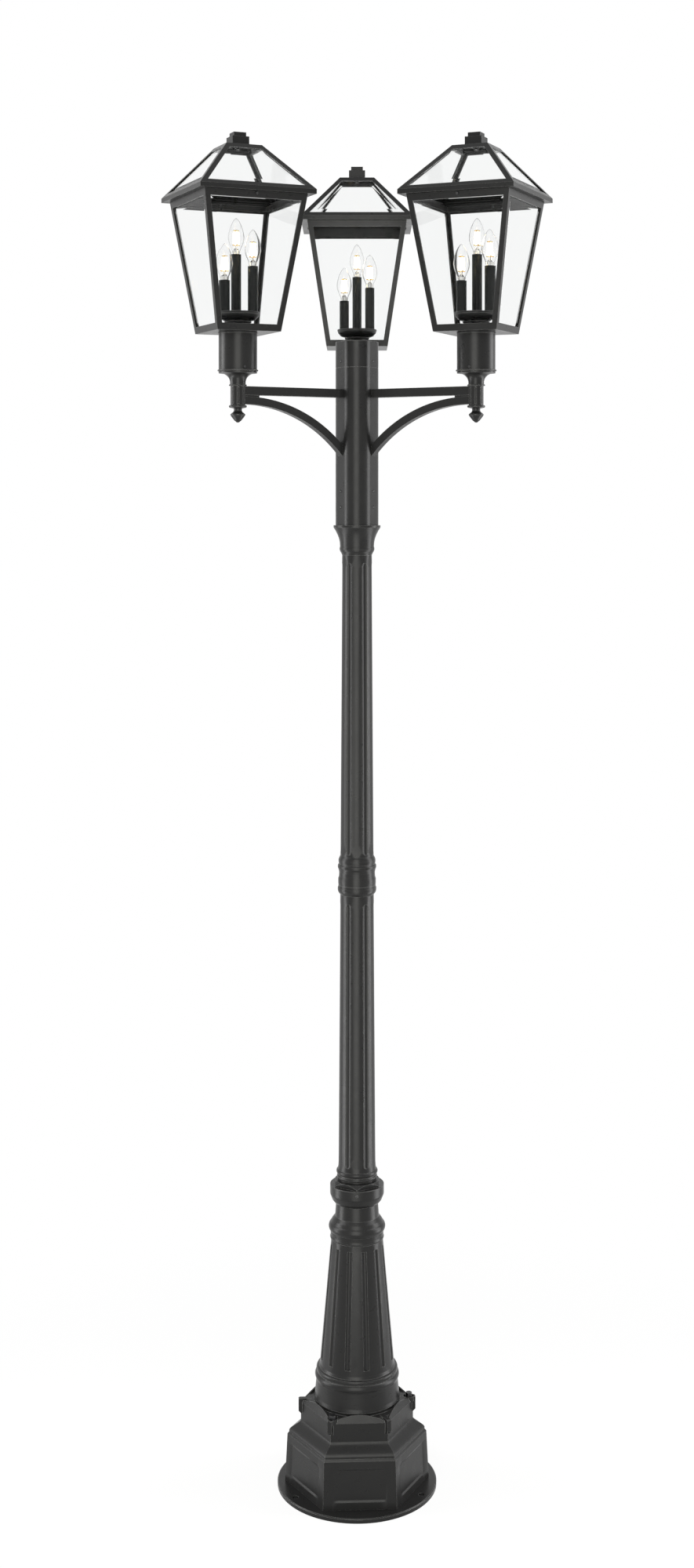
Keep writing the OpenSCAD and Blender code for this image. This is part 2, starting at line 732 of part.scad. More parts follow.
module arm_hub() {
    color(black) difference() {
        union() {
            translate([0, 0, hub_z]) linear_extrude(hub_h) difference() {
                lobed(lobe_r);
                lobed(lobe_r - hub_wall);
            }
            translate([0, 0, hub_top_z - cap_spigot_h])
                linear_extrude(2 * cap_spigot_h) difference() {
                    lobed(lobe_r - hub_wall - screw_gap);
                    lobed(lobe_r - 2 * hub_wall);
                }
            translate([0, 0, hub_top_z - cap_spigot_h]) linear_extrude(cap_spigot_h - 1)
                difference() {
                    lobed(lobe_r - hub_wall + 1);
                    lobed(lobe_r - 2 * hub_wall);
                }
        }
        hub_screw_holes(concat(hub_foot_screws, [hub_h + hub_cap_screw]));
        for (a = arm_angles) rotate([0, 0, a]) translate([0, 0, bar_z + bar_h / 2])
            rotate([0, 90, 0]) cylinder(h = flat_d + 1, r = arm_wire_r, $fn = 32);
    }
}

module hub_cap() {
    color(black) difference() {
        union() {
            translate([0, 0, hub_top_z]) linear_extrude(hub_cap_h) lobed(lobe_r - seam_step);
            translate([0, 0, hub_top_z + 1.2]) linear_extrude(hub_cap_h - 2) lobed(lobe_r);
        }
        translate([0, 0, hub_top_z - 1]) linear_extrude(hub_cap_h - hub_wall + 1)
            lobed(lobe_r - hub_wall);
        hub_screw_holes([hub_h + hub_cap_screw]);
    }
}

module hub_screws() {
    color(steel) for (a = arm_angles) for (h = concat(hub_foot_screws, [hub_h + hub_cap_screw]))
        rotate([0, 0, a]) translate([flat_d, 0, hub_z + h])
            round_screw(hub_screw_r, 1.8, hub_screw_r / 2 - thread_gap, 2 * hub_wall);
}

module arm(i) {
    bell_top_z = bell_z + bell_h;
    mouth_r = fitter_r - 3;
    color(black) on_arm(i) difference() {
        union() {
            difference() {
                union() {
                    translate([flat_d, -bar_w / 2, bar_z]) cube([arm_reach - flat_d, bar_w, bar_h]);
                    translate([brace_x, 0, brace_z]) rotate([90, 0, 0]) rotate([0, 0, 90])
                        rotate_extrude(angle = 60, $fn = 240)
                            translate([brace_r, -bar_w / 2]) square([brace_t, bar_w]);
                    translate([brace_x, -bar_w / 2, brace_z + brace_r])
                        cube([column_r, bar_w, brace_t]);
                    translate([brace_x - web_l, 2 - bar_w / 2, bar_z - web_h - brace_t / 2])
                        cube([web_l + column_r / 2, bar_w - 4, web_h + brace_t / 2 + 2]);
                }
                translate([flat_d - brace_r, -bar_w, brace_z])
                    cube([brace_r, 2 * bar_w, 2 * brace_r]);
            }
            translate([arm_reach, 0, 0]) difference() {
                rotate_extrude() polygon(concat(
                    [[0, pendant_top_z], [pendant_neck_r, pendant_top_z],
                     [column_r + 2.6, pendant_top_z + foot_ring_h * 0.3],
                     [column_r + 3.6, pendant_top_z + foot_ring_h * 0.5],
                     [column_r + 3.6, pendant_top_z + foot_ring_h * 0.75],
                     [column_r + 2.6, pendant_top_z + foot_ring_h * 0.9],
                     [column_r, column_z], [column_r, column_top_z],
                     [column_r + 3, column_top_z + collar_ring_h * 0.15],
                     [column_r + 3.7, column_top_z + collar_ring_h * 0.5],
                     [column_r + 3, column_top_z + collar_ring_h * 0.85],
                     [column_r + 1.1, column_top_z + collar_ring_h]],
                    [for (t = [0:9:90]) [mouth_r - (mouth_r - column_r - 1.1) * cos(t),
                        bell_z + bell_h * sin(t)]],
                    [[fitter_r, bell_top_z], [fitter_r, seat_z - lip_h - 0.6],
                     [fitter_r - 0.8, seat_z - lip_h], [lip_r - 0.6, seat_z - lip_h],
                     [lip_r, seat_z - lip_h + 0.6], [lip_r, seat_z - 0.6],
                     [lip_r - 0.6, seat_z], [tenon_r, seat_z],
                     [tenon_r, seat_z + tenon_h], [tenon_r - tenon_wall, seat_z + tenon_h],
                     [tenon_r - tenon_wall, seat_z], [0, seat_z]]));
                for (k = [0:7]) rotate([0, 0, 22.5 + 45 * k])
                    translate([column_r, 0, (column_z + column_top_z) / 2])
                        groove(4, 0.8, column_h - 5, false);
            }
        }
        // The wires' way from the hub through the bar and up into the lantern
        translate([flat_d - 1, 0, bar_z + bar_h / 2]) rotate([0, 90, 0])
            cylinder(h = arm_reach - flat_d + 1, r = arm_wire_r, $fn = 32);
        translate([arm_reach, 0, bar_z + bar_h / 2 - arm_wire_r])
            cylinder(h = seat_z - bar_z, r = arm_wire_r, $fn = 32);
    }
}

module pendant(i) {
    color(black) on_arm(i) translate([arm_reach, 0, pendant_top_z]) rotate_extrude()
        polygon([[0, -pendant_h], [pendant_r * 0.16, 0.5 - pendant_h],
            [pendant_r * 0.45, -pendant_h * 0.86], [pendant_r * 0.76, -pendant_h * 0.66],
            [pendant_r * 0.93, -pendant_h * 0.53], [pendant_r, -pendant_h * 0.47],
            [pendant_r, -pendant_h * 0.4], [pendant_r * 0.86, -pendant_h * 0.33],
            [pendant_r * 0.66, -pendant_h * 0.25], [pendant_neck_r, -pendant_h * 0.16],
            [pendant_neck_r, 0], [0, 0]]);
}

// Lantern body, in its own frame with its bottom at height 0

// A child whose +X looks out of one face of the body at a roof screw
module at_roof_screws() {
    z = body_h - screw_drop;
    for (side = [-90, 90]) rotate([0, 0, side]) translate([body_at(z), 0, z])
        rotate([0, lean, 0]) children();
}

module lantern_frame() {
    low = base_rail_h;
    high = body_h - top_rail_h;
    color(black) difference() {
        taper_block(base_half, 0, body_half, body_h);
        taper_block(body_at(stop_h) - leg_in, stop_h, body_at(body_h + 1) - leg_in, body_h + 1);
        taper_block(body_at(floor_t) - stop_in, floor_t, body_at(stop_h + 1) - stop_in, stop_h + 1);
        for (turn = [0, 90]) rotate([0, 0, turn])
            swept([[post_w - body_at(low), low], [body_at(low) - post_w, low],
                [body_at(high) - post_w, high], [post_w - body_at(high), high]], body_w + 2);
        at_roof_screws() rotate([0, 90, 0])
            cylinder(h = 4 * leg_t, r = roof_screw_r + thread_gap, center = true, $fn = 24);
        translate([0, 0, -1]) cylinder(h = floor_t + 2, r = nipple_r, $fn = 32);
    }
}

// A bevelled pane in its own plane: bottom edge on X, +Y up the pane, outer face towards +Z
module pane(low_half, high_half, length) {
    flare = atan((high_half - low_half) / length);
    side_l = length / cos(flare);
    color(clear) difference() {
        linear_extrude(pane_t) polygon([[-low_half, 0], [low_half, 0],
            [high_half, length], [-high_half, length]]);
        bevel([-low_half, 0], 0, 2 * low_half);
        bevel([low_half, 0], 90 - flare, side_l);
        bevel([high_half, length], 180, 2 * high_half);
        bevel([-high_half, length], flare - 90, side_l);
    }
}

// The wedge that a bevel takes off one edge, from a corner along a direction
module bevel(corner, direction, length) {
    past = 20;
    translate([corner[0], corner[1], pane_edge_t]) rotate([0, 0, direction])
        rotate([atan((pane_t - pane_edge_t) / bevel_w), 0, 0])
            translate([-past, -past, 0]) cube([length + 2 * past, 2 * bevel_w + past, 2 * pane_t]);
}

// Four panes behind a tapered frame whose openings run from height low to high, between
// strips of a given width. The bevels bear on the openings' inner edges.
module pane_row(half, tilt, base_z, low, high, strip) {
    y0 = (low - leg_t * sin(tilt)) / cos(tilt) - pane_lap;
    y1 = (high - leg_t * sin(tilt)) / cos(tilt) + pane_lap;
    inset = (leg_t + pane_t + pane_gap - leg_t * pow(sin(tilt), 2)) / cos(tilt);
    lap = min(bevel_w, max(pane_lap, strip - inset));
    rise = (pane_t - pane_edge_t) * (1 - lap / bevel_w) - pane_seat_gap;
    function half_at(y) = half + y * sin(tilt) - inset;
    for (face = [0:3]) rotate([0, 0, 90 * face]) translate([half, 0, base_z])
        rotate([0, tilt, 0]) rotate([90, 0, 90]) translate([0, y0, rise - leg_t - pane_t])
            pane(half_at(y0), half_at(y1), y1 - y0);
}

module side_glass() {
    pane_row(base_half, lean, 0, base_rail_h, body_h - top_rail_h, post_w);
}

module fitter() {
    color(black) difference() {
        union() {
            translate([0, 0, -fitter_h]) cylinder(h = fitter_h, r = fitter_r);
            translate([0, 0, -2]) cylinder(h = 2, r = fitter_r + 0.8);
        }
        translate([0, 0, -fitter_h - 1]) cylinder(h = fitter_h + 1 - fitter_wall, r = fitter_bore_r);
        translate([0, 0, -fitter_wall - 1]) cylinder(h = fitter_wall + 2, r = nipple_r, $fn = 32);
        for (side = [-90, 90]) rotate([0, 0, side]) translate([fitter_bore_r - 2, 0, set_screw_z])
            rotate([0, 90, 0]) cylinder(h = 8, r = set_screw_r, $fn = 24);
    }
}

module set_screws() {
    color(black) for (side = [-90, 90]) rotate([0, 0, side])
        translate([fitter_r, 0, set_screw_z])
            round_screw(set_screw_r + 0.9, 1.6, set_screw_r - thread_gap, fitter_wall);
}

module roof_screws() {
    color(steel) at_roof_screws()
        round_screw(roof_head_r, 2.4, roof_screw_r, leg_t + skirt_gap + skirt_t);
}

module candle_pan() {
    color(black) rotate_extrude() polygon(concat(
        [[nipple_bore_r, floor_t - nipple_drop], [nipple_r - thread_gap, floor_t - nipple_drop],
         [nipple_r - thread_gap, floor_t], [16, floor_t], [16, floor_t + 2], [9, floor_t + 4],
         [9, deck_pan_z - 24], [26, deck_pan_z - 23.5], [30, deck_pan_z - 22],
         [30, deck_pan_z - 19.5]],
        [for (t = [0:9:90]) [26 + (pan_r - 27) * sin(t), deck_pan_z - 5 - 13 * cos(t)]],
        [[pan_r, deck_pan_z - 4.4], [pan_r, deck_pan_z - 0.6], [pan_r - 0.6, deck_pan_z],
         [nipple_bore_r, deck_pan_z]]));
}

module candle_tube() {
    color(black) difference() {
        cylinder(h = $top, r = candle_r, $fn = 48);
        translate([0, 0, -1]) cylinder(h = $top + 2, r = candle_r - candle_wall, $fn = 48);
    }
}

module lampholder() {
    color(black) difference() {
        union() {
            cylinder(h = $top - holder_h + 1, r = 5, $fn = 32);
            translate([0, 0, $top - holder_h]) cylinder(h = holder_h - 1, r = holder_r, $fn = 48);
        }
        translate([0, 0, $top - base_h]) cylinder(h = base_h, r = thread_r + screw_gap, $fn = 48);
    }
}

module bulb_base() {
    color(steel) rotate_extrude($fn = 48) polygon([[0, $top - base_h], [3, $top - base_h],
        [3.4, $top - base_h + 1.5], [thread_r, $top - base_h + 4], [thread_r, $top - 1.5],
        [bulb_neck_r - 0.8, $top + 0.5], [bulb_neck_r + 0.5, $top + cap_show_h - 1],
        [bulb_neck_r + 0.5, $top + cap_show_h], [0, $top + cap_show_h]]);
}

// Outline of a candle bulb with a given largest radius, neck and height
function bulb_outline(r, neck, h) = concat(
    [for (i = [0:7]) let (t = i / 8) [neck + (r - neck) * pow(sin(90 * t), 1.15), bulb_belly * h * t]],
    [for (i = [0:14]) let (t = i / 14)
        [r * pow(1 - pow(t, 1.75), 0.74), h * (bulb_belly + (1 - bulb_belly) * t)]]);

module bulb_glass() {
    inner = bulb_outline(bulb_r - bulb_wall, bulb_neck_r - bulb_wall, bulb_h - bulb_wall);
    back = [for (i = [len(inner) - 1:-1:0]) inner[i]];
    color(clear) translate([0, 0, $top + cap_show_h]) rotate_extrude($fn = 48)
        polygon(concat(bulb_outline(bulb_r, bulb_neck_r, bulb_h), back));
}

// Lantern roof

module roof_frame() {
    low = eave_strip_h;
    high = roof_h - crest_strip_h;
    under = roof_h - crest_t;
    slot_w = 2 * (roof_screw_r + screw_gap);
    color(black) difference() {
        union() {
            taper_block(eave_half, body_h, eave_half, slope_z);
            taper_block(eave_half, slope_z, crest_half, crest_z);
            translate([0, 0, body_h - skirt_h / 2])
                cube([2 * skirt_half, 2 * skirt_half, skirt_h + 1], center = true);
        }
        taper_block(eave_half - roof_in, slope_z, roof_at(under) - roof_in, slope_z + under);
        taper_block(eave_half - roof_in, body_h + soffit_t, eave_half - roof_in, slope_z + eps);
        translate([0, 0, body_h - skirt_h / 2])
            cube([2 * skirt_in, 2 * skirt_in, skirt_h + 4 * soffit_t], center = true);
        for (turn = [0, 90]) rotate([0, 0, turn])
            swept([[hip_w - roof_at(low), slope_z + low], [roof_at(low) - hip_w, slope_z + low],
                [roof_at(high) - hip_w, slope_z + high], [hip_w - roof_at(high), slope_z + high]],
                eave_w + 2);
        for (side = [-1, 1]) translate([0, side * skirt_half, body_h - skirt_h / 2 - 1])
            cube([slot_w, 4 * skirt_t, skirt_h + 1], center = true);
        translate([0, 0, crest_z - crest_t - 1])
            cylinder(h = crest_t + 2, r = cap_stud_r + thread_gap, $fn = 32);
    }
}

module roof_glass() {
    pane_row(eave_half, pitch, slope_z, eave_strip_h, roof_h - crest_strip_h, hip_w);
}

// A square block standing on a height
module block(w, z, h) {
    translate([-w / 2, -w / 2, z]) cube([w, w, h]);
}

module roof_cap() {
    stud_h = crest_t + 6;
    block_z = crest_z + cap_neck_h;
    color(black) {
        block(cap_top_w - 2, crest_z, cap_neck_h);
        block(cap_w, block_z, cap_h);
        block(cap_top_w, block_z + cap_h, cap_top_h);
        translate([0, 0, crest_z - stud_h])
            cylinder(h = stud_h + 1, r = cap_stud_r - thread_gap, $fn = 32);
    }
}

module cap_nut() {
    color(steel) translate([0, 0, crest_z - crest_t - cap_nut_h]) difference() {
        cylinder(h = cap_nut_h, r = cap_nut_r, $fn = 32);
        translate([0, 0, -1]) cylinder(h = cap_nut_h + 2, r = cap_stud_r, $fn = 32);
    }
}

anchor_plate();
hex_pedestal();
pedestal_bolts();
fluted_cone();
collar_screws();
lower_shaft();
coupling_sleeve();
upper_shaft();
post_capital();
arm_hub();
hub_cap();
hub_screws();
for (i = [0:2]) {
    arm(i);
    pendant(i);
    in_lantern(i) lantern_frame();
    in_lantern(i) side_glass();
    in_lantern(i) fitter();
    in_lantern(i) set_screws();
    in_lantern(i) candle_pan();
    at_candles(i) candle_tube();
    at_candles(i) lampholder();
    at_candles(i) bulb_base();
    at_candles(i) bulb_glass();
    in_lantern(i) roof_screws();
    in_lantern(i) roof_frame();
    in_lantern(i) roof_glass();
    in_lantern(i) roof_cap();
    in_lantern(i) cap_nut();
}
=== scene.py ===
# %% [markdown]
# # Dressing a post light with three lanterns
# The shapes of this light come finished from a CAD model: a cast base, a fluted shaft, a hub
# with three braced arms, and a glazed lantern on each arm. What is left for Blender is how it
# looks. We load the model as a fixed frame, photograph it with a camera that stands where the
# real one stood, and give every part the finish that a maker would give it. All lengths are
# metres, and the post's axis is the line x = y = 0.

# %% Load the frame
import json
import math

import bmesh
import bpy
from mathutils import Matrix, Vector


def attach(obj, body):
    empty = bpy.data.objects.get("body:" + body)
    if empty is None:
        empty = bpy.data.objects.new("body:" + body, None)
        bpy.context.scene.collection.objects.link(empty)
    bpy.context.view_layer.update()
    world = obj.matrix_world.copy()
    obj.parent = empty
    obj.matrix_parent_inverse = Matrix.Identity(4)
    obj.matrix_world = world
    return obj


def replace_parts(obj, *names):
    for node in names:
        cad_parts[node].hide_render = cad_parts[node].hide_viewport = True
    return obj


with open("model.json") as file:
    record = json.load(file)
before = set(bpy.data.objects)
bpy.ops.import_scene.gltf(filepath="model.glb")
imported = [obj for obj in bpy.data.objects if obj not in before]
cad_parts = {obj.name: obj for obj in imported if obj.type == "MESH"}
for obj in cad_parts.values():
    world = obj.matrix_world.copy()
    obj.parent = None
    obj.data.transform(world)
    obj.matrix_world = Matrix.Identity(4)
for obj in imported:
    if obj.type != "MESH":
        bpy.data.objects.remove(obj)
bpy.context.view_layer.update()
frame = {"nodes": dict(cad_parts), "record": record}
scene = bpy.context.scene

# %% [markdown]
# ## The camera
# The photograph shows upright lines as exactly parallel, although the lanterns are seen from
# below and the base from above. That is what a level camera with a vertical shift gives: the
# lens looks straight ahead at its own height and the frame is moved down over the picture.
# We could tilt the camera instead, but then the shaft would taper towards the floor.

# %% Camera
PHOTO_W, PHOTO_H = 885, 2000
FOCAL_PX = 2475.65                     # the focal length, in the photograph's pixels
LOOK_X, HORIZON_Y = 455.27, 630.0      # the pixel that the lens looks straight at
EYE_AWAY, EYE_HEIGHT = 4.456, 2.268
SENSOR_MM = 36.0

camera_data = bpy.data.cameras.new("studio_camera")
camera_data.sensor_fit = "AUTO"
camera_data.sensor_width = SENSOR_MM
camera_data.lens = SENSOR_MM * FOCAL_PX / PHOTO_H
camera_data.shift_x = (PHOTO_W / 2 - LOOK_X) / PHOTO_H
camera_data.shift_y = (HORIZON_Y - PHOTO_H / 2) / PHOTO_H
camera_data.clip_start, camera_data.clip_end = 0.1, 100
camera = bpy.data.objects.new("studio_camera", camera_data)
scene.collection.objects.link(camera)
camera.location = (0, -EYE_AWAY, EYE_HEIGHT)
camera.rotation_euler = (math.radians(90), 0, 0)
scene.camera = camera
scene.view_settings.view_transform = "Standard"
print("lens %.1f mm, shift %.3f" % (camera_data.lens, camera_data.shift_y))

# %% [markdown]
# ## Small helpers for materials
# A Blender material is a little network of nodes. Writing the links out by hand hides what the
# network does, so a few helpers do the plumbing. They start a material around the general
# Principled shader, set its sockets, and add a node with its settings. Two more make what
# comes back in nearly every finish: a cloudy pattern, and a colour between two others.

# %% Material helpers
WHITE = (1, 1, 1, 1)


def start_material(name):
    """A new material, its node tree and its Principled shader."""
    material = bpy.data.materials.new(name)
    material.use_nodes = True
    tree = material.node_tree
    return material, tree, tree.nodes["Principled BSDF"]


def add_node(tree, kind, inputs=None, **settings):
    """Add a node. An input is a plain value, or another node's output to link to."""
    node = tree.nodes.new(kind)
    for key, value in settings.items():
        setattr(node, key, value)
    for key, value in (inputs or {}).items():
        if isinstance(value, bpy.types.NodeSocket):
            tree.links.new(value, node.inputs[key])
        else:
            node.inputs[key].default_value = value
    return node


def set_sockets(shader, values):
    """Set the shader's own sockets, for what is the same all over a surface."""
    for socket, value in values.items():
        shader.inputs[socket].default_value = value


def place_on_piece(tree):
    """Where a point lies in its piece, in metres."""
    return add_node(tree, "ShaderNodeTexCoord").outputs["Object"]


def clouds(tree, place, scale, detail):
    """A cloudy pattern between 0 and 1."""
    return add_node(tree, "ShaderNodeTexNoise", {"Vector": place, "Scale": scale,
                    "Detail": detail}).outputs["Fac"]


def between(tree, share, low, high):
    """A colour between two others, by a share from 0 to 1."""
    first, second, result = 6, 7, 2      # the colour sockets of the Mix node
    return add_node(tree, "ShaderNodeMix", {"Factor": share, first: low, second: high},
                    data_type="RGBA").outputs[result]


print("helpers ready")

# %% [markdown]
# ## The studio
# The object stands on a pale floor in front of nothing at all. A white paper backdrop would
# light it from all round, and black paint would turn grey. So a plain white world is seen by
# the camera, by reflections and through glass, and for everything else it is dim, so that the
# lamps shape the light. The floor does the same but keeps a share of real diffuse white, and
# that share shows the soft shadow round the foot. The share fades out with the distance from
# the post, so the floor has no visible end.

# %% World
DIM_WORLD = 0.35


def seen_white(tree):
    """1 for rays from the camera, in reflections and through glass, else 0."""
    path = add_node(tree, "ShaderNodeLightPath")
    first = add_node(tree, "ShaderNodeMath", {0: path.outputs["Is Camera Ray"],
                     1: path.outputs["Is Glossy Ray"]}, operation="MAXIMUM")
    return add_node(tree, "ShaderNodeMath", {0: first.outputs[0],
                    1: path.outputs["Is Transmission Ray"]}, operation="MAXIMUM").outputs[0]


world = bpy.data.worlds.new("white_studio")
scene.world = world
world.use_nodes = True
world_tree = world.node_tree
world_tree.nodes.clear()
dim = add_node(world_tree, "ShaderNodeBackground", {"Color": WHITE, "Strength": DIM_WORLD})
white = add_node(world_tree, "ShaderNodeBackground", {"Color": WHITE, "Strength": 1.0})
sky = add_node(world_tree, "ShaderNodeMixShader", {0: seen_white(world_tree),
               1: dim.outputs[0], 2: white.outputs[0]})
add_node(world_tree, "ShaderNodeOutputWorld", {"Surface": sky.outputs[0]})
print("world: white where it is seen,", DIM_WORLD, "where it lights")

# %% Floor
FLOOR_CORNERS = [(-14, -10, 0), (14, -10, 0), (14, 18, 0), (-14, 18, 0)]
SHADOW_NEAR, SHADOW_FAR = 0.2, 1.6      # the floor turns pure white between these distances
NEAR_SHARE = 0.9                        # how much pure white it has before them


def add_object(name, mesh, material):
    """Put a mesh into the scene in one material."""
    mesh.materials.append(material)
    thing = bpy.data.objects.new(name, mesh)
    scene.collection.objects.link(thing)
    return thing


floor_paint, tree, shader = start_material("floor_paint")
set_sockets(shader, {"Base Color": (0.9, 0.9, 0.89, 1), "Roughness": 0.8,
                     "Specular IOR Level": 0.1})
glow = add_node(tree, "ShaderNodeEmission", {"Color": WHITE, "Strength": 1.0})
distance = add_node(tree, "ShaderNodeVectorMath", {0: place_on_piece(tree)}, operation="LENGTH")
fade = add_node(tree, "ShaderNodeMapRange", {"Value": distance.outputs["Value"],
                "From Min": SHADOW_NEAR, "From Max": SHADOW_FAR, "To Min": NEAR_SHARE,
                "To Max": 1.0}, interpolation_type="SMOOTHSTEP")
share = add_node(tree, "ShaderNodeMath", {0: seen_white(tree), 1: fade.outputs[0]},
                 operation="MULTIPLY")
paint = add_node(tree, "ShaderNodeMixShader", {0: share.outputs[0], 1: shader.outputs[0],
                 2: glow.outputs[0]})
tree.links.new(paint.outputs[0], tree.nodes["Material Output"].inputs["Surface"])

floor_mesh = bpy.data.meshes.new("studio_floor")
floor_mesh.from_pydata(FLOOR_CORNERS, [], [(0, 1, 2, 3)])
floor = add_object("studio_floor", floor_mesh, floor_paint)
print("floor:", [round(v) for v in floor.dimensions])

# %% [markdown]
# ## Lamps
# Black paint is drawn by its reflections. The photograph shows a bright upright streak near
# both edges of every round part and a broad fainter one in the middle. A streak lies where
# the paint's normal points half way between the camera and the lamp, so a streak far round
# to the side means a lamp that stands beside the object. Small bright lamps would give thin
# hard streaks, so there are two tall narrow soft boxes at the sides and a wider one in front.
# What counts for a streak is how bright the box itself looks, so its power is worked out from
# that and its area. Neither the camera nor a ray through glass sees the boxes themselves.

# %% Soft boxes
AIM_HEIGHT = 2.0      # a box aims level, but never higher than this


def soft_box(name, turn, away, height, size, glare, colour=(1, 1, 1)):
    """An area lamp that looks at the post's axis, turned from the front by some degrees."""
    data = bpy.data.lights.new(name, "AREA")
    data.shape = "RECTANGLE"
    data.size, data.size_y = size
    data.energy = glare * math.pi * size[0] * size[1]
    data.color = colour
    lamp = bpy.data.objects.new(name, data)
    lamp.visible_camera = lamp.visible_transmission = False
    scene.collection.objects.link(lamp)
    side = math.radians(turn)
    lamp.location = (away * math.sin(side), -away * math.cos(side), height)
    aim = Vector((0, 0, min(height, AIM_HEIGHT))) - lamp.location
    lamp.rotation_euler = aim.to_track_quat("-Z", "Y").to_euler()
    return lamp


lamps = [soft_box("left_box", turn=-90, away=1.4, height=1.7, size=(0.5, 3.6), glare=6.5),
         soft_box("right_box", turn=93, away=1.4, height=1.7, size=(0.6, 3.6), glare=6.0),
         soft_box("front_box", turn=-5, away=1.8, height=1.6, size=(1.0, 3.6), glare=4.0,
                  colour=(1.0, 1.0, 0.95))]
print("lamps:", [(lamp.name, round(lamp.data.energy, 1)) for lamp in lamps])

# %% [markdown]
# ## Black powder coat
# Cast aluminium outdoors is powder coated: the powder melts into a tough satin skin with a
# very fine orange peel. A flat black would look like a hole. So the colour drifts a little,
# the gloss varies over a few centimetres, a fine bump breaks up the highlights, and edges are
# rounded by a little under a millimetre, as a coat of paint rounds them. Where the rounded
# normal turns away from the true one there is an edge, and there a lighter colour is painted
# on: a painted highlight, for the thin bright lines that lamps would draw along the edges. We
# could paint that highlight by hand, but the Bevel node finds every edge itself.

# %% Powder coat
DRIFT_SCALE, GLOSS_SCALE, PEEL_SCALE = 9.0, 45.0, 900.0      # patterns per metre
PEEL_DEPTH = 0.0002
EDGE_STARTS, EDGE_FULL = 0.985, 0.9         # rounded normal times true normal
# painted highlight: the lighter colour that edges get in place of the lamps' thin glints
EDGE_HIGHLIGHT_PAINT = (0.24, 0.24, 0.235, 1)


def coat(name, dark, light, gloss, peel, edge, edge_highlight=0.0, same=None):
    """A finish between two colours and two roughnesses, with a peel, rounded edges and a
    painted highlight along them.

    gloss is the smoothest and roughest the coat gets, peel the strength of its bump, edge the
    radius of the edges, and the argument after it how much of the lighter painted highlight
    colour lies on them. same holds what is the same all over the surface.
    """
    material, tree, shader = start_material(name)
    place = place_on_piece(tree)
    drift = clouds(tree, place, DRIFT_SCALE, detail=3.0)
    tint = between(tree, drift, (*dark, 1), (*light, 1))
    uneven = clouds(tree, place, GLOSS_SCALE, detail=4.0)
    rough = add_node(tree, "ShaderNodeMapRange", {"Value": uneven, "From Min": 0.3,
                     "From Max": 0.7, "To Min": gloss[0], "To Max": gloss[1]})
    rounded = add_node(tree, "ShaderNodeBevel", {"Radius": edge}, samples=4).outputs[0]
    bump = add_node(tree, "ShaderNodeBump", {"Strength": peel, "Distance": PEEL_DEPTH,
                    "Height": clouds(tree, place, PEEL_SCALE, detail=2.0),
                    "Normal": rounded})
    flat = add_node(tree, "ShaderNodeNewGeometry").outputs["Normal"]
    alike = add_node(tree, "ShaderNodeVectorMath", {0: rounded, 1: flat},
                     operation="DOT_PRODUCT").outputs["Value"]
    # painted highlight: the sharper the edge, the more of the lighter colour it gets
    painted_edge_highlight = add_node(tree, "ShaderNodeMapRange", {"Value": alike, "From Min": EDGE_STARTS,
                    "From Max": EDGE_FULL, "To Max": edge_highlight}).outputs[0]
    tree.links.new(between(tree, painted_edge_highlight, tint, EDGE_HIGHLIGHT_PAINT), shader.inputs["Base Color"])
    tree.links.new(rough.outputs[0], shader.inputs["Roughness"])
    tree.links.new(bump.outputs[0], shader.inputs["Normal"])
    set_sockets(shader, same or {})
    return material


# the black coat carries the painted edge highlight at 0.8
powder_coat = coat("powder_coat", (0.009, 0.009, 0.009), (0.013, 0.0128, 0.0125),
                   gloss=(0.26, 0.34), peel=0.25, edge=0.0008, edge_highlight=0.8,
                   same={"Specular IOR Level": 0.2})
print("powder coat:", len(powder_coat.node_tree.nodes), "nodes")

# %% [markdown]
# ## Candle sleeves, lampholders and screws
# The candle sleeves wear the same black but glossier, so the bulbs mirror in them as golden
# streaks. The lampholders inside are plain moulded plastic. The screws are blackened steel:
# metal, so their colour is in the reflection. Each could be a material of its own, but all of
# them are a thin skin with some grain, so the same recipe serves with other numbers.

# %% Sleeves, holders and screws
METAL = {"Metallic": 1.0}
sleeve_black = coat("sleeve_black", (0.006, 0.007, 0.0068), (0.01, 0.0105, 0.01),
                    gloss=(0.2, 0.26), peel=0.05, edge=0.0004,
                    same={"Specular IOR Level": 0.12, "Coat Weight": 0.06,
                          "Coat Roughness": 0.12})
holder_plastic = coat("holder_plastic", (0.02, 0.02, 0.02), (0.03, 0.03, 0.03),
                      gloss=(0.5, 0.6), peel=0.2, edge=0.0004)
screw_black = coat("screw_black", (0.04, 0.04, 0.041), (0.07, 0.07, 0.071),
                   gloss=(0.28, 0.4), peel=0.2, edge=0.0003, same=METAL)
plain_steel = coat("plain_steel", (0.4, 0.4, 0.41), (0.52, 0.52, 0.53),
                   gloss=(0.3, 0.42), peel=0.15, edge=0.0004, same=METAL)
print("small finishes:", [m.name for m in (sleeve_black, holder_plastic, screw_black,
                                           plain_steel)])

# %% [markdown]
# ## Bulb caps
# A candle bulb sits in a thin rolled cap of nickel-plated brass. Polished metal needs hardly
# any colour of its own; faint turned rings keep it from looking like liquid. The rings could
# be cut into the mesh, but they are finer than any mesh needs to be, so a wave pattern in the
# bump draws them.

# %% Nickel cap
RINGS_SCALE, RING_DEPTH = 160.0, 0.0002
cap_nickel, tree, shader = start_material("cap_nickel")
rings = add_node(tree, "ShaderNodeTexWave", {"Vector": place_on_piece(tree),
                 "Scale": RINGS_SCALE, "Distortion": 0.3}, wave_type="BANDS",
                 bands_direction="Z").outputs["Fac"]
bump = add_node(tree, "ShaderNodeBump", {"Strength": 0.15, "Distance": RING_DEPTH,
                "Height": rings})
tree.links.new(between(tree, rings, (0.62, 0.61, 0.58, 1), (0.78, 0.77, 0.75, 1)),
               shader.inputs["Base Color"])
tree.links.new(bump.outputs[0], shader.inputs["Normal"])
set_sockets(shader, {"Metallic": 1.0, "Roughness": 0.16})
print("nickel:", len(tree.nodes), "nodes")
